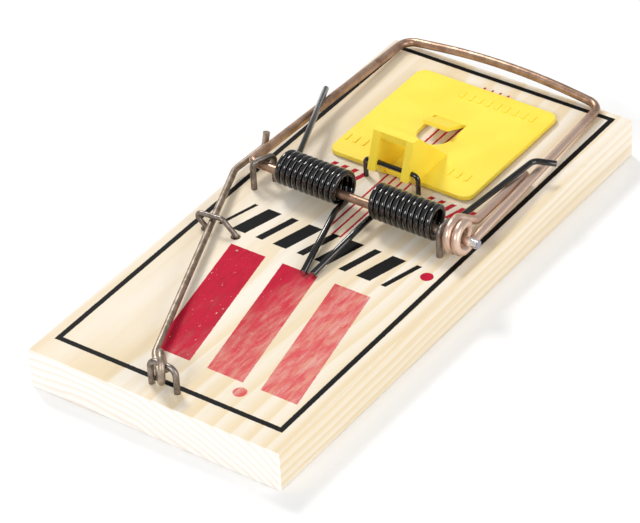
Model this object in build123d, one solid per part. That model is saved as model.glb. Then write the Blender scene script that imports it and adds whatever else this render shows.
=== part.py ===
from build123d import *
import os

# A wooden-board snap trap, shown sprung: the hammer lies closed over the bait pedal.
# Frame: origin at the centre of the board's underside, +Y towards the pedal end, +Z up.
# All sizes are in millimetres. Names ending in _HEIGHT are measured up from the board's top face.

# Board
BOARD_WIDTH = 82.5
BOARD_LENGTH = 176.0
BOARD_THICKNESS = 12.5
BOARD_EDGE_RADIUS = 0.5

# Hammer: one wire, bent into axle, left arm, crossbar, right arm, coil eye and tail
HAMMER_WIRE = 2.6
AXLE_Y = 6.6
AXLE_HEIGHT = 6.6
AXLE_TIP_X = 41.2
LEFT_ARM_X = -35.5
LEFT_CORNER_X = -36.3
RIGHT_CORNER_X = 31.2
CROSSBAR_Y = 86.6
CROSSBAR_HEIGHT = 1.9
CROSSBAR_MIDDLE_X = 1.0
CROSSBAR_ARCH = 4.6
CROSSBAR_BEND = 180.0
AXLE_BEND = 2.2
CORNER_BEND = 4.0
ARM_KINK = (36.6, 15.0, 4.2)
ARM_KINK_BEND = 12.0
EYE_RADIUS = 4.05
EYE_BEND = 3.9
EYE_X = 37.0
EYE_Y = 6.8
EYE_HEIGHT = 6.9
EYE_PITCH = 2.72
EYE_CORNERS = 6
TAIL_SHOULDER = (32.6, 9.4, 10.95)
TAIL_KNEE = (33.1, 17.6, 4.9)
TAIL_END = (31.3, 46.0, 2.6)
TAIL_BEND = 3.0

# Springs: close-wound torsion coils round the axle, each with a near and a far leg
SPRING_WIRE = 1.8
COIL_RADIUS = 4.4
COIL_BEND = 4.34
COIL_Y = 8.1
COIL_HEIGHT = 7.8
COIL_PITCH = 1.87
COIL_TURNS = 11
LEFT_COIL_INNER_X = -3.9
RIGHT_COIL_INNER_X = 6.4
NEAR_LEG_LEFT_TIP = (3.0, -22.8, 1.1)
NEAR_LEG_RIGHT_TIP = (5.6, -22.2, 1.1)
NEAR_KNEE_DRIFT = 0.1
NEAR_KNEE_GAP = 1.0
NEAR_LEG_BEND = 6.0
LEFT_FAR_LEG = [(-24.5, 12.2, 3.4), (-24.6, 14.2, 7.0), (-37.8, 47.2, 7.0)]
LEFT_FAR_LEG_BENDS = [3.0, 3.0]
RIGHT_FAR_LEG = [(27.0, 13.5, 3.4), (32.6, 48.4, 6.3), (38.6, 51.0, 5.8)]
RIGHT_FAR_LEG_BENDS = [6.0, 3.0]

# Staples that hold the axle
AXLE_STAPLE_WIRE = 1.8
AXLE_STAPLE_HEIGHT = 8.95
AXLE_STAPLE_BEND = 1.9
AXLE_STAPLE_DEPTH = 7.0
LEFT_STAPLE_FEET = ((-32.4, 3.4), (-29.6, 9.8))
RIGHT_STAPLE_FEET = ((30.0, 4.0), (30.0, 10.4))

# Locking bar and the eye staple that it hangs on
EYE_STAPLE_WIRE = 1.8
EYE_STAPLE_X = 4.2
EYE_STAPLE_Y = -81.6
EYE_STAPLE_HEIGHT = 7.9
EYE_STAPLE_BEND = 2.2
EYE_STAPLE_DEPTH = 8.0
BAR_WIRE = 2.0
BAR_RING_RADIUS = 3.85
BAR_RING_BEND = 3.75
BAR_RING_X = -1.35
BAR_RING_DROP = 1.6
BAR_RING_PITCH = 2.2
BAR_RING_SHARES = (0.05, 0.2, 0.45, 0.8, 1.0)
BAR_RING_END_RISE = 0.9
BAR_RING_END_BACK = 1.6
BAR_RING_END_BEND = 1.4
BAR_ELBOW = (-8.8, -74.0, 2.7)
BAR_ELBOW_BEND = 8.0
BAR_KNEE = (-39.9, 4.6, 3.1)
BAR_KNEE_BEND = 6.0
BAR_HEEL = (-38.6, 17.6, 3.9)
BAR_TIP = (-38.5, 18.6, 8.2)
BAR_HEEL_BEND = 1.6

# Small staple that holds the locking bar down until the trap is first used
SHIPPING_WIRE = 1.5
SHIPPING_LEFT_FOOT = (-32.9, -18.9)
SHIPPING_RIGHT_FOOT = (-23.4, -17.9)
SHIPPING_LEAN = (-3.9, -0.5)
SHIPPING_HEIGHT = 4.95
SHIPPING_RISE = 0.6
SHIPPING_DEPTH = 3.5
SHIPPING_BEND = 1.0
SHIPPING_SHOULDER_BEND = 1.3
SHIPPING_POCKET = 2.9
SHIPPING_POCKET_DEPTH = 5.0

# Pedal
PEDAL_LEFT_X = -24.5
PEDAL_RIGHT_X = 23.5
PEDAL_NEAR_Y = 28.5
PEDAL_FAR_Y = 77.0
PEDAL_UNDER_HEIGHT = 0.5
PEDAL_THICKNESS = 1.3
PEDAL_CORNER_RADIUS = 3.2
PEDAL_EDGE_RADIUS = 0.35
EAR_OUTER_X = 6.8
EAR_THICKNESS = 2.4
EAR_TOP_HEIGHT = 15.8
EAR_BOTTOM_HEIGHT = 4.4
EAR_FRONT_Y = 22.8
EAR_TOP_Y = 26.8
EAR_DEPTH = 2.7
EAR_NECK_DEPTH = 3.2
EAR_ROOT_RISE = 0.1
EAR_ROOT_FRONT_Y = 27.9
EAR_ROOT_BACK_Y = 28.8
GUSSET_FOOT_Y = 44.0
BRIDGE_THICKNESS = 2.2
PIVOT_Y = 25.2
PIVOT_HEIGHT = 6.2
PIVOT_WIRE = 1.5
PIVOT_CLEARANCE = 0.08
PIVOT_LEG_X = 8.9
PIVOT_BEND = 1.6
PIVOT_DEPTH = 6.0
BAIT_SLOT_X = -2.0
BAIT_SLOT_WIDTH = 11.0
BAIT_SLOT_NEAR_Y = 45.0
BAIT_SLOT_FAR_Y = 58.5
TONGUE_WIDTH = 8.4
TONGUE_LENGTH = 9.4
TONGUE_THICKNESS = 1.2
TONGUE_ROOT = 0.6
TONGUE_TILT = 24.0
RIB_HEIGHT = 0.3
RIB_WIDTH = 1.0
RIB_LENGTH = 3.2
RIB_SPACING = 3.0
RIB_ROWS = ((6.0, 71.2, 9), (-19.8, 36.3, 3), (14.8, 36.9, 3))


def above(point):
    """Turn (x, y, height above the board's top) into a point of the frame."""
    return (point[0], point[1], BOARD_THICKNESS + point[2])


def bent_wire(points, bends, diameter):
    """A round wire along straight runs joined by arcs, one bend radius for each inner corner."""
    path = FilletPolyline(*[above(point) for point in points], radius=bends)
    profile = Plane(origin=path @ 0, z_dir=path % 0) * Circle(diameter / 2)
    return sweep(profile, path=path)


def leg_hole(foot, diameter, depth):
    """The hole that one vertical staple leg fills in the board."""
    centre = (foot[0], foot[1], BOARD_THICKNESS - depth / 2)
    return Pos(*centre) * Cylinder(diameter / 2, depth)


def staple(near_foot, far_foot, height, depth, bend, diameter):
    """A U of wire, both legs driven straight down into the board."""
    points = [
        (*near_foot, -depth),
        (*near_foot, height),
        (*far_foot, height),
        (*far_foot, -depth),
    ]
    return bent_wire(points, [bend, bend], diameter)


def coil_corners(inner_x, side, turns):
    """Corners of the square spiral that, rounded off, is the coil; side is -1 for left, +1 for right."""
    near = COIL_Y - COIL_RADIUS
    far = COIL_Y + COIL_RADIUS
    low = COIL_HEIGHT - COIL_RADIUS
    high = COIL_HEIGHT + COIL_RADIUS
    one_turn = [(far, low), (far, high), (near, high), (near, low)]
    corners = []
    for index in range(4 * turns):
        y, height = one_turn[index % 4]
        x = inner_x + side * COIL_PITCH * (index + 0.5) / 4
        corners.append((x, y, height))
    return corners


def spring(inner_x, side, near_tip, far_leg, far_bends):
    """A torsion spring: near leg to the board, coil round the axle, far leg over the hammer's arm."""
    corners = coil_corners(inner_x, side, COIL_TURNS)
    near_knee = (
        inner_x - side * NEAR_KNEE_DRIFT,
        COIL_Y - COIL_RADIUS - NEAR_KNEE_GAP,
        COIL_HEIGHT - COIL_RADIUS,
    )
    points = [near_tip, near_knee] + corners + far_leg
    bends = [NEAR_LEG_BEND] + [COIL_BEND] * len(corners) + far_bends
    return bent_wire(points, bends, SPRING_WIRE)


def make_board():
    board = Pos(0, 0, BOARD_THICKNESS / 2) * Box(BOARD_WIDTH, BOARD_LENGTH, BOARD_THICKNESS)
    board = fillet(board.edges(), BOARD_EDGE_RADIUS)
    for foot in (*LEFT_STAPLE_FEET, *RIGHT_STAPLE_FEET):
        board -= leg_hole(foot, AXLE_STAPLE_WIRE, AXLE_STAPLE_DEPTH)
    for side in (-1, 1):
        board -= leg_hole((side * EYE_STAPLE_X, EYE_STAPLE_Y), EYE_STAPLE_WIRE, EYE_STAPLE_DEPTH)
        board -= leg_hole((side * PIVOT_LEG_X, PIVOT_Y), PIVOT_WIRE, PIVOT_DEPTH)
    for foot in (SHIPPING_LEFT_FOOT, SHIPPING_RIGHT_FOOT):
        board -= leg_hole(foot, SHIPPING_POCKET, SHIPPING_POCKET_DEPTH)
    return board


def make_hammer():
    near = EYE_Y - EYE_RADIUS
    far = EYE_Y + EYE_RADIUS
    low = EYE_HEIGHT - EYE_RADIUS
    high = EYE_HEIGHT + EYE_RADIUS
    one_turn = [(near, low), (near, high), (far, high), (far, low)]
    eye = []
    for index in range(EYE_CORNERS):
        y, height = one_turn[index % 4]
        eye.append((EYE_X - EYE_PITCH * (index + 0.5) / 4, y, height))
    points = [
        (AXLE_TIP_X, AXLE_Y, AXLE_HEIGHT),
        (LEFT_ARM_X, AXLE_Y, AXLE_HEIGHT),
        (LEFT_CORNER_X, CROSSBAR_Y, CROSSBAR_HEIGHT),
        (CROSSBAR_MIDDLE_X, CROSSBAR_Y, CROSSBAR_HEIGHT + CROSSBAR_ARCH),
        (RIGHT_CORNER_X, CROSSBAR_Y, CROSSBAR_HEIGHT),
        ARM_KINK,
        *eye,
        TAIL_SHOULDER,
        TAIL_KNEE,
        TAIL_END,
    ]
    bends = [AXLE_BEND, CORNER_BEND, CROSSBAR_BEND, CORNER_BEND, ARM_KINK_BEND]
    bends += [EYE_BEND] * EYE_CORNERS + [TAIL_BEND, TAIL_BEND]
    return bent_wire(points, bends, HAMMER_WIRE)


def make_left_spring():
    return spring(LEFT_COIL_INNER_X, -1, NEAR_LEG_LEFT_TIP, LEFT_FAR_LEG, LEFT_FAR_LEG_BENDS)


def make_right_spring():
    return spring(RIGHT_COIL_INNER_X, 1, NEAR_LEG_RIGHT_TIP, RIGHT_FAR_LEG, RIGHT_FAR_LEG_BENDS)


def make_axle_staple(feet):
    near_foot, far_foot = feet
    return staple(near_foot, far_foot, AXLE_STAPLE_HEIGHT, AXLE_STAPLE_DEPTH, AXLE_STAPLE_BEND,
                  AXLE_STAPLE_WIRE)


def make_eye_staple():
    left_foot = (-EYE_STAPLE_X, EYE_STAPLE_Y)
    right_foot = (EYE_STAPLE_X, EYE_STAPLE_Y)
    return staple(left_foot, right_foot, EYE_STAPLE_HEIGHT, EYE_STAPLE_DEPTH, EYE_STAPLE_BEND,
                  EYE_STAPLE_WIRE)


def make_pivot_staple():
    left_foot = (-PIVOT_LEG_X, PIVOT_Y)
    right_foot = (PIVOT_LEG_X, PIVOT_Y)
    return staple(left_foot, right_foot, PIVOT_HEIGHT, PIVOT_DEPTH, PIVOT_BEND, PIVOT_WIRE)


def make_locking_bar():
    """A bar with a ring round the eye staple's crown, an elbow, a knee and an upturned tip."""
    ring_centre = Vector(BAR_RING_X, EYE_STAPLE_Y, EYE_STAPLE_HEIGHT - BAR_RING_DROP)
    elbow = Vector(*BAR_ELBOW)
    along = Vector(elbow.X - ring_centre.X, elbow.Y - ring_centre.Y, 0).normalized()
    across = Vector(along.Y, -along.X, 0)
    up = Vector(0, 0, 1)

    radius = BAR_RING_RADIUS
    low_end = BAR_RING_END_RISE - radius
    corners = [
        (-radius, -radius),
        (-radius, radius),
        (radius, radius),
        (radius, low_end),
        (radius - BAR_RING_END_BACK, low_end),
    ]
    ring = []
    for (forward, rise), share in zip(corners, BAR_RING_SHARES):
        point = ring_centre + along * forward + up * rise + across * (BAR_RING_PITCH * share)
        ring.append((point.X, point.Y, point.Z))
    points = [BAR_TIP, BAR_HEEL, BAR_KNEE, BAR_ELBOW, *ring]
    bends = [BAR_HEEL_BEND, BAR_KNEE_BEND, BAR_ELBOW_BEND] + [BAR_RING_BEND] * 3 + [BAR_RING_END_BEND]
    return bent_wire(points, bends, BAR_WIRE)


def make_shipping_staple():
    """A small staple that leans over the locking bar, its legs upright where they enter the board."""
    points = []
    for foot in (SHIPPING_LEFT_FOOT, SHIPPING_RIGHT_FOOT):
        shoulder = (foot[0] + SHIPPING_LEAN[0], foot[1] + SHIPPING_LEAN[1], SHIPPING_HEIGHT)
        leg = [(*foot, -SHIPPING_DEPTH), (*foot, SHIPPING_RISE), shoulder]
        points += leg if not points else leg[::-1]
    bends = [SHIPPING_BEND, SHIPPING_SHOULDER_BEND, SHIPPING_SHOULDER_BEND, SHIPPING_BEND]
    return bent_wire(points, bends, SHIPPING_WIRE)


def make_pedal():
    under = BOARD_THICKNESS + PEDAL_UNDER_HEIGHT
    top = under + PEDAL_THICKNESS
    width = PEDAL_RIGHT_X - PEDAL_LEFT_X
    length = PEDAL_FAR_Y - PEDAL_NEAR_Y
    middle = ((PEDAL_LEFT_X + PEDAL_RIGHT_X) / 2, (PEDAL_NEAR_Y + PEDAL_FAR_Y) / 2)
    outline = Pos(*middle, under) * RectangleRounded(width, length, PEDAL_CORNER_RADIUS)
    pedal = extrude(outline, amount=PEDAL_THICKNESS)
    pedal = fillet(pedal.edges().group_by(Axis.Z)[-1], PEDAL_EDGE_RADIUS)
    pedal -= bait_slot(under)
    pedal += bait_tongue(top)
    for side in (-1, 1):
        pedal += ear(side)
    pedal += bridge()
    for rib in ribs(top):
        pedal += rib
    pivot = Pos(0, PIVOT_Y, BOARD_THICKNESS + PIVOT_HEIGHT) * Rot(0, 90, 0)
    pedal -= pivot * Cylinder(PIVOT_WIRE / 2 + PIVOT_CLEARANCE, 4 * EAR_OUTER_X)
    return pedal


def bait_slot(under):
    """A U-shaped opening: straight far edge, half-round near end."""
    radius = BAIT_SLOT_WIDTH / 2
    round_y = BAIT_SLOT_NEAR_Y + radius
    straight = BAIT_SLOT_FAR_Y - round_y
    box = Pos(BAIT_SLOT_X, round_y + straight / 2, under) * Rectangle(BAIT_SLOT_WIDTH, straight)
    disc = Pos(BAIT_SLOT_X, round_y, under) * Circle(radius)
    return Pos(0, 0, -1) * extrude(box + disc, amount=PEDAL_THICKNESS + 2)


def bait_tongue(top):
    """A flap hinged on the slot's far edge, bent up so that bait can be pushed under it."""
    hinge = Pos(BAIT_SLOT_X, BAIT_SLOT_FAR_Y, top - PEDAL_THICKNESS / 2) * Rot(-TONGUE_TILT, 0, 0)
    centre_y = TONGUE_ROOT - TONGUE_LENGTH / 2
    flap = Pos(0, centre_y, 0) * Box(TONGUE_WIDTH, TONGUE_LENGTH, TONGUE_THICKNESS)
    return hinge * flap


def ear(side):
    """One cheek of the catch: an upright post with a gusset sloping back down to the plate."""
    outline = Polyline(
        (EAR_FRONT_Y, EAR_BOTTOM_HEIGHT),
        (EAR_TOP_Y, EAR_TOP_HEIGHT),
        (EAR_TOP_Y + EAR_DEPTH, EAR_TOP_HEIGHT),
        (GUSSET_FOOT_Y, PEDAL_UNDER_HEIGHT + PEDAL_THICKNESS / 2),
        (EAR_ROOT_BACK_Y, PEDAL_UNDER_HEIGHT + EAR_ROOT_RISE),
        (EAR_ROOT_FRONT_Y, PEDAL_UNDER_HEIGHT + EAR_ROOT_RISE),
        (EAR_FRONT_Y + EAR_NECK_DEPTH, EAR_BOTTOM_HEIGHT),
        close=True,
    )
    inner_x = EAR_OUTER_X - EAR_THICKNESS
    start_x = inner_x if side > 0 else -EAR_OUTER_X
    plane = Plane(origin=(start_x, 0, BOARD_THICKNESS), x_dir=(0, 1, 0), z_dir=(1, 0, 0))
    return extrude(plane * make_face(outline), amount=EAR_THICKNESS)


def bridge():
    """The bar that joins both ears; the locking bar's tip is caught under it."""
    centre_y = EAR_TOP_Y + EAR_DEPTH / 2
    centre_z = BOARD_THICKNESS + EAR_TOP_HEIGHT - BRIDGE_THICKNESS / 2
    return Pos(0, centre_y, centre_z) * Box(2 * EAR_OUTER_X, EAR_DEPTH, BRIDGE_THICKNESS)


def ribs(top):
    """Rows of small plain ribs moulded on the plate, each row given by its middle and its count."""
    bars = []
    for middle_x, y, count in RIB_ROWS:
        for index in range(count):
            x = middle_x + RIB_SPACING * (index - (count - 1) / 2)
            bars.append(Pos(x, y, top) * Box(RIB_WIDTH, RIB_LENGTH, 2 * RIB_HEIGHT))
    return bars


def save(name, shape):
    solids = shape.solids()
    body = solids[0] if len(solids) == 1 else Compound(children=list(solids))
    export_step(body, f"parts/{name}.step")
    print(name, len(solids), round(body.volume, 1), body.is_valid)


os.makedirs("parts", exist_ok=True)
save("base_board", make_board())
save("hammer", make_hammer())
save("left_spring", make_left_spring())
save("right_spring", make_right_spring())
save("left_axle_staple", make_axle_staple(LEFT_STAPLE_FEET))
save("right_axle_staple", make_axle_staple(RIGHT_STAPLE_FEET))
save("locking_bar", make_locking_bar())
save("locking_bar_staple", make_eye_staple())
save("shipping_staple", make_shipping_staple())
save("pedal", make_pedal())
save("pedal_pivot_staple", make_pivot_staple())
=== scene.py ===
import math

import bmesh
import bpy
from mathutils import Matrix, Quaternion, Vector


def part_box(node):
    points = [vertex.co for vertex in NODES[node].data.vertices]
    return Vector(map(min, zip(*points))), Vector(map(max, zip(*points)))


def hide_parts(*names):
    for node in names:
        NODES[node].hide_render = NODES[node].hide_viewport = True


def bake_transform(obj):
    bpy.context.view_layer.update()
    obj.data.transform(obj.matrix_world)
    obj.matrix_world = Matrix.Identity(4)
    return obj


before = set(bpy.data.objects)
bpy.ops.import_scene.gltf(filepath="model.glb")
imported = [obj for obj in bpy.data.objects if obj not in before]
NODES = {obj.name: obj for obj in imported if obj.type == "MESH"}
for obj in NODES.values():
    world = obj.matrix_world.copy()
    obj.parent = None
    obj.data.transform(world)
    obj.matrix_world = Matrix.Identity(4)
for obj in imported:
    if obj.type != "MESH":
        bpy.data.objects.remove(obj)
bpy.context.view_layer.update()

MM = 0.001
BOARD_LOW, BOARD_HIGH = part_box("base_board")
TOP = BOARD_HIGH.z

# Camera: a long lens from the front right, above the board, rolled a little
CAMERA_PLACE = Vector((0.4559, -0.6155, 0.5762))
CAMERA_TARGET = Vector((0.0032, -0.0150, 0.0125))
CAMERA_ROLL = math.radians(-3.36)
CAMERA_LENS = 192.6
CAMERA_SENSOR = 36.0

# Studio: an even pale surround and three area lamps aimed at the board's middle
FLOOR_HALF = 6.0
FLOOR_COLOUR = (0.93, 0.93, 0.93, 1.0)
WORLD_COLOUR = (0.95, 0.97, 1.0, 1.0)
WORLD_STRENGTH = 0.46
LAMP_AIM = Vector((0.0, 0.0, 0.01))
WHITE = (1.0, 1.0, 1.0)
WARM_WHITE = (1.0, 0.985, 0.96)
# Each lamp's name, place, width and height, watts and colour
LAMPS = (
    ("key", (-0.60, 0.30, 0.80), (0.28, 0.28), 5.7, WARM_WHITE),
    ("front", (0.10, -0.95, 0.65), (0.45, 0.25), 4.8, WHITE),
    ("right", (0.95, -0.1, 0.40), (0.8, 0.6), 5.2, WHITE),
)

# Springs, as in the CAD model: the wire and the coils
SPRING_WIRE = 1.8 * MM
COIL_RADIUS = 4.4 * MM
COIL_Y = 8.1 * MM
COIL_Z = TOP + 7.8 * MM
COIL_PITCH = 1.87 * MM
COIL_TURNS = 11
COIL_STEPS = 40
BEND_STEPS = 8
TUBE_SIDES = 20

# A cut wire end: its chamfer's length and its face's radius, as shares of the wire's radius
CUT_CHAMFER = 0.16
CUT_FACE = 0.80

# Spring legs in millimetres, each point as x, y and height above the board's top
NEAR_KNEE_DRIFT = 0.1
NEAR_KNEE_GAP = 1.0
NEAR_BEND = 6.0
LEFT_COIL_X = -3.9
LEFT_NEAR_TIP = (3.0, -22.8, 1.1)
LEFT_FAR_LEG = ((-24.5, 12.2, 3.4), (-24.6, 14.2, 7.0), (-37.8, 47.2, 7.0))
LEFT_FAR_BENDS = (3.0, 3.0)
RIGHT_COIL_X = 6.4
RIGHT_NEAR_TIP = (5.6, -22.2, 1.1)
RIGHT_FAR_LEG = ((27.0, 13.5, 3.4), (32.6, 48.4, 6.3), (38.6, 51.0, 5.8))
RIGHT_FAR_BENDS = (6.0, 3.0)

# Where the hammer's axle starts to be bare, and its cut tip, in millimetres along X
AXLE_BARE = 38.2
AXLE_TIP = 41.2

# Edges across which a CAD node's shading stays smooth, in degrees
PLATE_ANGLE = 35.0
WIRE_ANGLE = 50.0

# Printed border, as distances in millimetres from the board's edges to the line's middle
BORDER_LEFT = 4.0
BORDER_RIGHT = 5.1
BORDER_FRONT = 8.5
BORDER_FAR = 3.2
BORDER_LINE = 1.7

# Printed bars in millimetres: the area (x_low, x_high, y_low, y_high), pitch, width and slant
BLACK_ROW = (-31.5, 25.0, -15.2, -2.4)
BLACK_PITCH = 14.0
BLACK_WIDE = 4.6
BLACK_SLIM = 2.4
BLACK_SLANT = 0.28
BROAD_STRIPES = ((-15.9, 36.6, -69.0, -21.0), 17.5, 11.8, -0.2)
SMALL_BARS_LEFT = ((-23.5, -9.5, 19.8, 26.4), 3.5, 1.7, 0.3)
SMALL_BARS_RIGHT = ((9.5, 27.0, 19.8, 26.4), 3.5, 1.7, 0.3)
THIN_LINES = ((-5.2, 5.6, -3.0, 80.0), 2.7, 0.7, 0.0)
# Printed dots in millimetres: centre x, centre y and radius
RED_DOTS = ((32.1, -5.5, 1.9), (17.9, -72.6, 2.0))

# Growth rings in millimetres: the pith under the board's left part, and the rings' spacing
PITH_X = -24.0
PITH_Z = -84.0
RING_SPACING = 2.5


# ---------------------------------------------------------------- shader building

class Field:
    """A number that varies over a surface. Arithmetic on it adds math nodes to its material."""

    def __init__(self, tree, socket):
        self.tree = tree
        self.socket = socket

    def math(self, operation, other=None):
        node = self.tree.nodes.new("ShaderNodeMath")
        node.operation = operation
        for index, value in enumerate((self, other)):
            if isinstance(value, Field):
                self.tree.links.new(value.socket, node.inputs[index])
            elif value is not None:
                node.inputs[index].default_value = value
        return Field(self.tree, node.outputs[0])

    def __add__(self, other):
        return self.math("ADD", other)

    def __sub__(self, other):
        return self.math("SUBTRACT", other)

    def __mul__(self, other):
        return self.math("MULTIPLY", other)

    def __truediv__(self, other):
        return self.math("DIVIDE", other)

    def __neg__(self):
        return self * -1.0

    def abs(self):
        return self.math("ABSOLUTE")

    def sqrt(self):
        return self.math("SQRT")

    def mod(self, period):
        return self.math("FLOORED_MODULO", period)

    def low(self, other):
        return self.math("MINIMUM", other)

    def high(self, other):
        return self.math("MAXIMUM", other)

    def inverse(self):
        """What is left of 1."""
        return -self + 1.0

    def step(self, start, end):
        """0 on start's side, 1 on end's side, smooth between. The start may be the higher value."""
        node = self.tree.nodes.new("ShaderNodeMapRange")
        node.interpolation_type = "SMOOTHSTEP"
        self.tree.links.new(self.socket, node.inputs["Value"])
        node.inputs["From Min"].default_value = start
        node.inputs["From Max"].default_value = end
        return Field(self.tree, node.outputs["Result"])


class Paint:
    """One material: a Principled shader and the nodes that vary it."""

    def __init__(self, name, **sockets):
        self.material = bpy.data.materials.new(name)
        self.material.use_nodes = True
        self.tree = self.material.node_tree
        self.shader = self.tree.nodes["Principled BSDF"]
        for socket, value in sockets.items():
            self.shader.inputs[socket.replace("_", " ")].default_value = value

    def place(self):
        """Coordinates x, y and z of the surface in the object's own space, in millimetres."""
        source = self.tree.nodes.new("ShaderNodeTexCoord").outputs["Object"]
        split = self.tree.nodes.new("ShaderNodeSeparateXYZ")
        self.tree.links.new(source, split.inputs[0])
        return [Field(self.tree, split.outputs[i]) * (1 / MM) for i in range(3)]

    def noise(self, x, y, z, scale, detail=3.0, rough=0.55):
        """Noise from 0 to 1 around 0.5; scale is in features per unit of x, y and z."""
        join = self.tree.nodes.new("ShaderNodeCombineXYZ")
        for index, value in enumerate((x, y, z)):
            self.tree.links.new(value.socket, join.inputs[index])
        node = self.tree.nodes.new("ShaderNodeTexNoise")
        self.tree.links.new(join.outputs[0], node.inputs["Vector"])
        node.inputs["Scale"].default_value = scale
        node.inputs["Detail"].default_value = detail
        node.inputs["Roughness"].default_value = rough
        return Field(self.tree, node.outputs["Fac"])

    def mix(self, low, high, share):
        """A colour between two colours, each a tuple or another mix's output."""
        node = self.tree.nodes.new("ShaderNodeMix")
        node.data_type = "RGBA"
        for value, socket in ((low, node.inputs[6]), (high, node.inputs[7])):
            if isinstance(value, tuple):
                socket.default_value = (*value, 1.0)
            else:
                self.tree.links.new(value, socket)
        self.tree.links.new(share.socket, node.inputs[0])
        return node.outputs[2]

    def set(self, socket, value):
        """Links a field or a colour to one of the shader's inputs."""
        source = value.socket if isinstance(value, Field) else value
        self.tree.links.new(source, self.shader.inputs[socket])

    def bump(self, height, distance, strength):
        """Height is a field from 0 to 1, distance its full depth in metres."""
        node = self.tree.nodes.new("ShaderNodeBump")
        node.inputs["Strength"].default_value = strength
        node.inputs["Distance"].default_value = distance
        self.tree.links.new(height.socket, node.inputs["Height"])
        self.tree.links.new(node.outputs["Normal"], self.shader.inputs["Normal"])


def srgb(red, green, blue):
    """A colour given as 0 to 255 display values, as the shader's linear values."""
    def linear(value):
        value /= 255
        return value / 12.92 if value <= 0.04045 else ((value + 0.055) / 1.055) ** 2.4
    return (linear(red), linear(green), linear(blue))


PINE_PALE = srgb(240, 231, 217)
PINE_WARM = srgb(233, 221, 200)
PINE_RING = srgb(227, 203, 158)
PINE_BAND = srgb(222, 199, 160)
PINE_FIBRE = srgb(212, 186, 148)
# The end faces' base is near white, paler than the top's wood: painted light for the brighter light the
# end faces catch
END_PALE_PAINTED_LIGHT = srgb(255, 251, 244)
END_RING = srgb(228, 204, 182)
END_PORE = srgb(232, 210, 190)
RED_INK = srgb(190, 9, 50)
RED_INK_DEEP = srgb(170, 5, 40)
RED_INK_FADED = srgb(216, 92, 92)
BLACK_INK = srgb(7, 6, 7)
COPPER_TAN = srgb(192, 158, 134)
COPPER_BROWN = srgb(152, 120, 100)
COPPER_CLEAN = srgb(232, 204, 186)
COPPER_DARK = srgb(92, 68, 56)
COPPER_LINE = srgb(220, 192, 170)
AXLE_BRIGHT = srgb(240, 238, 236)
AXLE_CUT = srgb(150, 148, 158)
# Bright, middle and dark tone of each bare steel
STAPLE_TONES = (srgb(158, 148, 140), srgb(118, 107, 99), srgb(60, 52, 46))
BAR_TONES = (srgb(184, 168, 152), srgb(142, 126, 110), srgb(74, 62, 52))
CUT_TONES = (srgb(205, 205, 205), srgb(170, 170, 170), srgb(110, 108, 106))
BLACK_WIRE = srgb(22, 20, 20)
BLACK_WIRE_PALE = srgb(44, 40, 38)
BLACK_WIRE_WORN = srgb(104, 94, 86)
YELLOW = srgb(252, 226, 74)
YELLOW_DEEP = srgb(249, 219, 62)
YELLOW_SCUFF = srgb(255, 240, 130)


# ---------------------------------------------------------------- printed ink

def inside_box(x, y, x_low, x_high, y_low, y_high):
    """Distance inside a rectangle, negative outside it."""
    half_x = (x_high - x_low) / 2
    half_y = (y_high - y_low) / 2
    across = -((x - (x_low + half_x)).abs() - half_x)
    along = -((y - (y_low + half_y)).abs() - half_y)
    return across.low(along)


def inside_disc(x, y, centre_x, centre_y, radius):
    """Distance inside a disc, negative outside it."""
    dx = x - centre_x
    dy = y - centre_y
    return -((dx * dx + dy * dy).sqrt() - radius)


def inside_bars(x, y, area, pitch, width, slant, phase=0.0):
    """Slanted bars of one width and pitch, clipped to area = (x_low, x_high, y_low, y_high)."""
    x_low, x_high, y_low, y_high = area
    leaning = x - (y - y_low) * slant
    place = (leaning - (x_low + phase)).mod(pitch) - pitch / 2
    bars = -(place.abs() - width / 2)
    rows = -((y - (y_low + y_high) / 2).abs() - (y_high - y_low) / 2)
    ends = -((leaning - (x_low + x_high) / 2).abs() - (x_high - x_low) / 2)
    return bars.low(rows).low(ends)


def black_print(x, y):
    """The border line round the board and a row of plain slanted bars across its middle."""
    left = BOARD_LOW.x / MM + BORDER_LEFT
    right = BOARD_HIGH.x / MM - BORDER_RIGHT
    front = BOARD_LOW.y / MM + BORDER_FRONT
    far = BOARD_HIGH.y / MM - BORDER_FAR
    border = -(inside_box(x, y, left, right, front, far).abs() - BORDER_LINE / 2)
    wide = inside_bars(x, y, BLACK_ROW, BLACK_PITCH, BLACK_WIDE, BLACK_SLANT)
    slim = inside_bars(x, y, BLACK_ROW, BLACK_PITCH, BLACK_SLIM, BLACK_SLANT, BLACK_PITCH / 2)
    return border.high(wide).high(slim)


def red_print(x, y):
    """Broad slanted stripes, two dots, four thin lines along the board and two rows of small bars."""
    marks = inside_bars(x, y, *BROAD_STRIPES)
    for bars in (SMALL_BARS_LEFT, SMALL_BARS_RIGHT, THIN_LINES):
        marks = marks.high(inside_bars(x, y, *bars))
    for dot in RED_DOTS:
        marks = marks.high(inside_disc(x, y, *dot))
    return marks


# ---------------------------------------------------------------- wood

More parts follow.
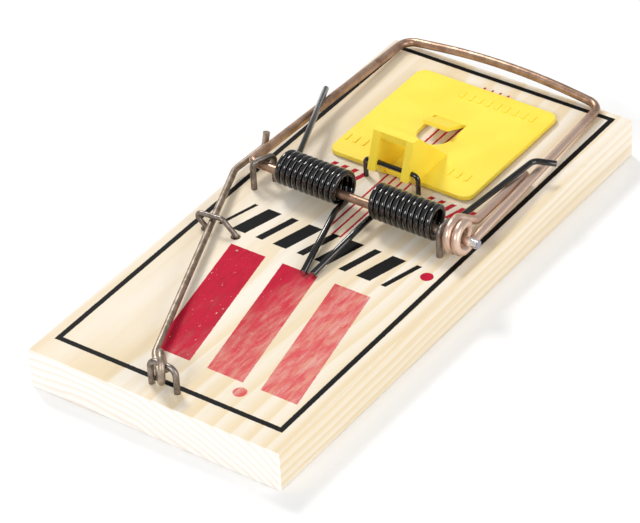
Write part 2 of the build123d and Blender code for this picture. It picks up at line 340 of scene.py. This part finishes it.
def pine_wood(paint, x, y, z):
    """The bare pine's colour, with its end faces painted paler than its top as painted light, its fibres
    and the relief of its grain.
    """
    sway = paint.noise(x * 0.5, y * 0.10, z * 0.5, scale=0.12, detail=2.0) - 0.5
    drift = paint.noise(x * 0.6, y * 0.16, z * 0.6, scale=0.05, detail=1.0) - 0.5
    pith_x = x - PITH_X + drift * 6.0
    pith_z = z - PITH_Z
    ring = (pith_x * pith_x + pith_z * pith_z).sqrt() + sway * 2.6 + drift * 3.0
    year = ring.mod(RING_SPACING) / RING_SPACING
    late = year.step(0.15, 0.88) * year.step(1.0, 0.90)
    fibre = paint.noise(x, y * 0.035, z, scale=2.6, detail=4.0, rough=0.7)
    pores = paint.noise(x, y * 0.03, z, scale=7.0, detail=2.0, rough=0.6)
    bands = paint.noise(x + sway * 3.0, y * 0.02, z, scale=0.22, detail=2.0, rough=0.5)
    patch = paint.noise(x, y * 0.25, z, scale=0.035, detail=2.0)
    grain = paint.mix(PINE_PALE, PINE_WARM, patch.step(0.35, 0.75))
    grain = paint.mix(grain, PINE_RING, late * 0.66 * patch.step(0.1, 0.58))
    grain = paint.mix(grain, PINE_BAND, bands.step(0.50, 0.66) * 0.36)
    grain = paint.mix(grain, PINE_FIBRE, fibre.step(0.56, 0.80) * 0.3)
    # End grain: real rings and pores on a near-white base, which is painted light making the end faces
    # paler than the top
    end_grain_painted_light = paint.mix(END_PALE_PAINTED_LIGHT, END_RING, late * 0.4)
    end_grain_painted_light = paint.mix(end_grain_painted_light, END_PORE, pores.step(0.58, 0.75) * 0.3)
    board_end = BOARD_HIGH.y / MM
    colour = paint.mix(grain, end_grain_painted_light, y.abs().step(board_end - 0.5, board_end - 0.2))
    relief = fibre * 0.5 + pores * 0.25 + late * 0.25
    return colour, fibre, relief


def wood_paint():
    """Planed pine with soft growth rings, printed with black and red ink on its top face."""
    paint = Paint("pine_printed", Specular_IOR_Level=0.14)
    x, y, z = paint.place()
    wood, fibre, relief = pine_wood(paint, x, y, z)
    edge = paint.noise(x, y, z, scale=1.4, detail=2.0) * 0.5 - 0.25
    worn = paint.noise(x, y * 0.22, z, scale=0.55, detail=5.0, rough=0.75)
    specks = paint.noise(x, y * 0.4, z, scale=1.7, rough=0.6)
    broad_wear = paint.noise(x, y * 0.4, z, scale=0.09, rough=0.6)
    top_face = z.step(TOP / MM - 0.35, TOP / MM - 0.1)
    # The red fades towards the right, and only on the broad stripes at the front
    fade = (x * 0.018 - y * 0.004 - 0.34 + worn * 0.3 + broad_wear * 0.6).step(0.12, 0.72)
    fade = fade * y.step(-15.0, -20.0)
    red_on = (red_print(x, y) + edge * 0.6).step(-0.10, 0.14) * top_face
    red_on = red_on * (specks.step(0.68, 0.74) * 0.8).inverse()
    black_on = (black_print(x, y) + edge * 0.5).step(-0.10, 0.12) * top_face
    black_on = black_on * (specks.step(0.72, 0.78) * 0.7).inverse()
    red = paint.mix(RED_INK, RED_INK_DEEP, worn.step(0.4, 0.7))
    red = paint.mix(red, RED_INK_FADED, fade * 0.8)
    cover = (fade * worn.step(0.35, 0.7) * 0.4).inverse()
    inked = paint.mix(wood, red, red_on * cover)
    paint.set("Base Color", paint.mix(inked, BLACK_INK, black_on))
    paint.set("Roughness", -(red_on.high(black_on) * 0.12) + fibre * 0.16 + 0.58)
    paint.bump(relief, 0.22 * MM, 0.55)
    return paint.material


# ---------------------------------------------------------------- metals and plastic

def copper_wire_paint():
    """Dull copper-washed steel: tan to brown blotches, a cleaner right arm, a bright cut axle tip."""
    paint = Paint("copper_washed_wire", Metallic=0.88, IOR=1.6)
    x, y, z = paint.place()
    blotch = paint.noise(x, y, z, scale=0.22, rough=0.6)
    lines = paint.noise(x * 0.25, y * 0.08, z, scale=3.2, rough=0.7)
    grit = paint.noise(x, y, z, scale=2.4, rough=0.7)
    tone = paint.mix(COPPER_TAN, COPPER_BROWN, blotch.step(0.35, 0.65))
    tone = paint.mix(tone, COPPER_CLEAN, x.step(16.0, 30.0) * y.step(82.0, 72.0) * 0.75)
    tone = paint.mix(tone, COPPER_DARK, grit.step(0.55, 0.78) * 0.55)
    tone = paint.mix(tone, COPPER_LINE, lines.step(0.56, 0.72) * 0.4)
    bare = x.step(AXLE_BARE, AXLE_BARE + 0.3)
    axle = paint.mix(AXLE_BRIGHT, AXLE_CUT, x.step(AXLE_TIP - 0.25, AXLE_TIP - 0.1))
    paint.set("Base Color", paint.mix(tone, axle, bare))
    rough = blotch * 0.22 + grit * 0.2 + 0.18
    paint.set("Roughness", rough * (bare * 0.45).inverse())
    paint.bump(grit * 0.5 + lines * 0.5, 0.09 * MM, 0.5)
    return paint.material


def steel_paint(name, tones, rough_low):
    """Bare drawn steel wire with brownish tarnish; tones are its bright, middle and dark colours."""
    bright, middle, dark = tones
    paint = Paint(name, Metallic=1.0, IOR=1.8)
    x, y, z = paint.place()
    blotch = paint.noise(x, y, z, scale=0.35, rough=0.6)
    lines = paint.noise(x, y * 0.12, z, scale=3.4, rough=0.7)
    grit = paint.noise(x, y, z, scale=2.8, rough=0.7)
    tone = paint.mix(bright, middle, blotch.step(0.35, 0.65))
    tone = paint.mix(tone, dark, grit.step(0.55, 0.8) * 0.6)
    tone = paint.mix(tone, bright, lines.step(0.58, 0.74) * 0.5)
    paint.set("Base Color", tone)
    paint.set("Roughness", blotch * 0.2 + grit * 0.2 + rough_low)
    paint.bump(grit * 0.5 + lines * 0.5, 0.08 * MM, 0.5)
    return paint.material


def black_wire_paint():
    """Oil-blackened spring wire: near black, glossy, with faint brown wear."""
    paint = Paint("blackened_wire", Metallic=1.0, Coat_Weight=1.0, Coat_Roughness=0.07, Coat_IOR=1.6)
    x, y, z = paint.place()
    blotch = paint.noise(x, y, z, scale=0.5, rough=0.6)
    grit = paint.noise(x, y, z, scale=3.0, rough=0.7)
    tone = paint.mix(BLACK_WIRE, BLACK_WIRE_PALE, blotch.step(0.35, 0.7))
    tone = paint.mix(tone, BLACK_WIRE_WORN, grit.step(0.62, 0.82) * 0.45)
    paint.set("Base Color", tone)
    paint.set("Roughness", blotch * 0.12 + grit * 0.12 + 0.1)
    paint.bump(grit, 0.06 * MM, 0.4)
    return paint.material


def yellow_plastic_paint():
    """Moulded yellow plastic: faint flow marks, fine texture and a few scuffs."""
    paint = Paint("yellow_moulding", IOR=1.5, Subsurface_Weight=0.12, Subsurface_Scale=0.002)
    x, y, z = paint.place()
    cloud = paint.noise(x, y, z, scale=0.06, detail=2.0)
    skin = paint.noise(x, y, z, scale=3.2, rough=0.6)
    scuff = paint.noise(x, y * 0.12, z, scale=0.9, detail=4.0, rough=0.7)
    tone = paint.mix(YELLOW, YELLOW_DEEP, cloud.step(0.35, 0.65))
    tone = paint.mix(tone, YELLOW_SCUFF, scuff.step(0.64, 0.76) * 0.35)
    paint.set("Base Color", tone)
    paint.set("Roughness", skin * 0.12 + scuff * 0.1 + 0.36)
    paint.bump(skin, 0.05 * MM, 0.35)
    return paint.material


# ---------------------------------------------------------------- springs

def rounded_path(corners, radii):
    """Straight runs joined by arcs of the given radii at the inner corners."""
    points = [corners[0]]
    for before, corner, after, radius in zip(corners, corners[1:], corners[2:], radii):
        back = (before - corner).normalized()
        ahead = (after - corner).normalized()
        half = back.angle(ahead) / 2
        centre = corner + (back + ahead).normalized() * (radius / math.sin(half))
        start = corner + back * (radius / math.tan(half)) - centre
        end = corner + ahead * (radius / math.tan(half)) - centre
        axis = start.cross(end).normalized()
        sweep = start.angle(end)
        for step in range(BEND_STEPS + 1):
            points.append(centre + Quaternion(axis, sweep * step / BEND_STEPS) @ start)
    return points + [corners[-1]]


def coil_path(inner_x, side):
    """The helix round the axle, from the bottom at its inner end to the bottom at its outer end."""
    points = []
    for step in range(COIL_TURNS * COIL_STEPS + 1):
        turn = step / COIL_STEPS
        angle = 2 * math.pi * turn
        x = inner_x + side * COIL_PITCH * turn
        y = COIL_Y + COIL_RADIUS * math.sin(angle)
        points.append(Vector((x, y, COIL_Z - COIL_RADIUS * math.cos(angle))))
    return points


def tube_stations(path, radius):
    """Where the tube's rings go: each one's centre, its place in the path and its share of the radius."""
    chamfer = radius * CUT_CHAMFER
    last = len(path) - 1
    first_run = (path[1] - path[0]).length
    last_run = (path[-1] - path[-2]).length
    stations = [(path[0], 0, CUT_FACE)]
    stations.append((path[0].lerp(path[1], chamfer / first_run), 0, 1.0))
    stations += [(path[index], index, 1.0) for index in range(1, last)]
    stations.append((path[-1].lerp(path[-2], chamfer / last_run), last, 1.0))
    stations.append((path[-1], last, CUT_FACE))
    return stations


def tube_rings(mesh, path, radius):
    """Rings of vertices square to the path, each turned as little as possible from the one before."""
    rings = []
    tangent = (path[1] - path[0]).normalized()
    normal = tangent.orthogonal().normalized()
    for point, index, share in tube_stations(path, radius):
        before = path[max(0, index - 1)]
        after = path[min(len(path) - 1, index + 1)]
        ahead = (after - before).normalized()
        normal = tangent.rotation_difference(ahead) @ normal
        normal = (normal - ahead * normal.dot(ahead)).normalized()
        tangent = ahead
        side = tangent.cross(normal)
        ring = []
        for corner in range(TUBE_SIDES):
            angle = 2 * math.pi * corner / TUBE_SIDES
            offset = (normal * math.cos(angle) + side * math.sin(angle)) * radius * share
            ring.append(mesh.verts.new(point + offset))
        rings.append(ring)
    return rings


def tube(name, path, radius, skin, cut):
    """A round wire along a path, with a small chamfer and a bare cut face at each end."""
    mesh = bmesh.new()
    rings = tube_rings(mesh, path, radius)
    for first, second in zip(rings, rings[1:]):
        for corner in range(TUBE_SIDES):
            following = (corner + 1) % TUBE_SIDES
            corners = (first[corner], first[following], second[following], second[corner])
            mesh.faces.new(corners).smooth = True
    for ring in (list(reversed(rings[0])), rings[-1]):
        mesh.faces.new(ring).material_index = 1
    mesh.normal_update()
    data = bpy.data.meshes.new(name)
    mesh.to_mesh(data)
    mesh.free()
    piece = bpy.data.objects.new(name, data)
    bpy.context.scene.collection.objects.link(piece)
    data.materials.append(skin)
    data.materials.append(cut)
    return piece


def on_board(x, y, height):
    """A point given in millimetres, its height above the board's top."""
    return Vector((x * MM, y * MM, TOP + height * MM))


def spring(name, inner_x, side, near_tip, far_leg, far_bends, skin, cut):
    """Near leg, coil and far leg as one wire, shown in place of the CAD node's spring."""
    coil = coil_path(inner_x * MM, side)
    coil_front = (COIL_Y - COIL_RADIUS) / MM
    coil_bottom = (COIL_Z - COIL_RADIUS - TOP) / MM
    knee = on_board(inner_x - side * NEAR_KNEE_DRIFT, coil_front - NEAR_KNEE_GAP, coil_bottom)
    near = rounded_path([on_board(*near_tip), knee, coil[0]], [NEAR_BEND * MM])
    far_corners = [coil[-1], *[on_board(*point) for point in far_leg]]
    far = rounded_path(far_corners, [bend * MM for bend in far_bends])
    piece = tube(name, near[:-1] + coil + far[1:], SPRING_WIRE / 2, skin, cut)
    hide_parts(name.replace("_wire", ""))
    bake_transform(piece)


def make_springs(skin, cut):
    spring("left_spring_wire", LEFT_COIL_X, -1, LEFT_NEAR_TIP, LEFT_FAR_LEG, LEFT_FAR_BENDS, skin, cut)
    spring("right_spring_wire", RIGHT_COIL_X, 1, RIGHT_NEAR_TIP, RIGHT_FAR_LEG, RIGHT_FAR_BENDS, skin, cut)


# ---------------------------------------------------------------- CAD nodes' materials

def dress(node, material, smooth_angle):
    """Gives a CAD node its material and smooth shading across its gentle edges."""
    piece = NODES[node]
    piece.data.materials.clear()
    piece.data.materials.append(material)
    for polygon in piece.data.polygons:
        polygon.use_smooth = True
    piece.data.set_sharp_from_angle(angle=math.radians(smooth_angle))


# ---------------------------------------------------------------- stage

def make_floor():
    """A plain pale floor, far larger than the view."""
    mesh = bpy.data.meshes.new("floor")
    corners = [(-1, -1), (1, -1), (1, 1), (-1, 1)]
    mesh.from_pydata([(x * FLOOR_HALF, y * FLOOR_HALF, 0) for x, y in corners], [], [(0, 1, 2, 3)])
    floor = bpy.data.objects.new("floor", mesh)
    bpy.context.scene.collection.objects.link(floor)
    paint = Paint("floor_paper", Roughness=0.9)
    paint.shader.inputs["Base Color"].default_value = FLOOR_COLOUR
    mesh.materials.append(paint.material)


def add_lamp(name, place, size, watts, colour):
    """An area lamp aimed at the board's middle."""
    data = bpy.data.lights.new(name, "AREA")
    data.shape = "RECTANGLE"
    data.size, data.size_y = size
    data.energy = watts
    data.color = colour
    lamp = bpy.data.objects.new(name, data)
    lamp.location = place
    lamp.rotation_mode = "QUATERNION"
    lamp.rotation_quaternion = (LAMP_AIM - Vector(place)).to_track_quat("-Z", "Y")
    bpy.context.scene.collection.objects.link(lamp)


def make_lights():
    """The surround's even light and the three lamps."""
    world = bpy.data.worlds.new("studio")
    world.use_nodes = True
    background = world.node_tree.nodes["Background"]
    background.inputs["Color"].default_value = WORLD_COLOUR
    background.inputs["Strength"].default_value = WORLD_STRENGTH
    bpy.context.scene.world = world
    for lamp in LAMPS:
        add_lamp(*lamp)


def make_camera():
    """The scene's camera, all in focus."""
    data = bpy.data.cameras.new("camera")
    data.lens = CAMERA_LENS
    data.sensor_width = CAMERA_SENSOR
    data.clip_start = 0.05
    data.clip_end = 20.0
    camera = bpy.data.objects.new("camera", data)
    camera.location = CAMERA_PLACE
    camera.rotation_mode = "QUATERNION"
    aim = (CAMERA_TARGET - CAMERA_PLACE).to_track_quat("-Z", "Y")
    camera.rotation_quaternion = aim @ Quaternion((0, 0, 1), CAMERA_ROLL)
    bpy.context.scene.collection.objects.link(camera)
    bpy.context.scene.camera = camera


make_camera()
make_lights()
make_floor()

bare_steel = steel_paint("bare_steel_wire", STAPLE_TONES, 0.22)
bar_steel = steel_paint("bar_steel_wire", BAR_TONES, 0.24)
cut_steel = steel_paint("cut_steel", CUT_TONES, 0.15)
black_wire = black_wire_paint()

dress("base_board", wood_paint(), PLATE_ANGLE)
dress("hammer", copper_wire_paint(), WIRE_ANGLE)
for staple in ("left_axle_staple", "right_axle_staple", "locking_bar_staple", "shipping_staple"):
    dress(staple, bare_steel, WIRE_ANGLE)
dress("locking_bar", bar_steel, WIRE_ANGLE)
dress("pedal_pivot_staple", black_wire, WIRE_ANGLE)
dress("pedal", yellow_plastic_paint(), PLATE_ANGLE)
make_springs(black_wire, cut_steel)

bpy.context.scene.view_settings.view_transform = "Standard"
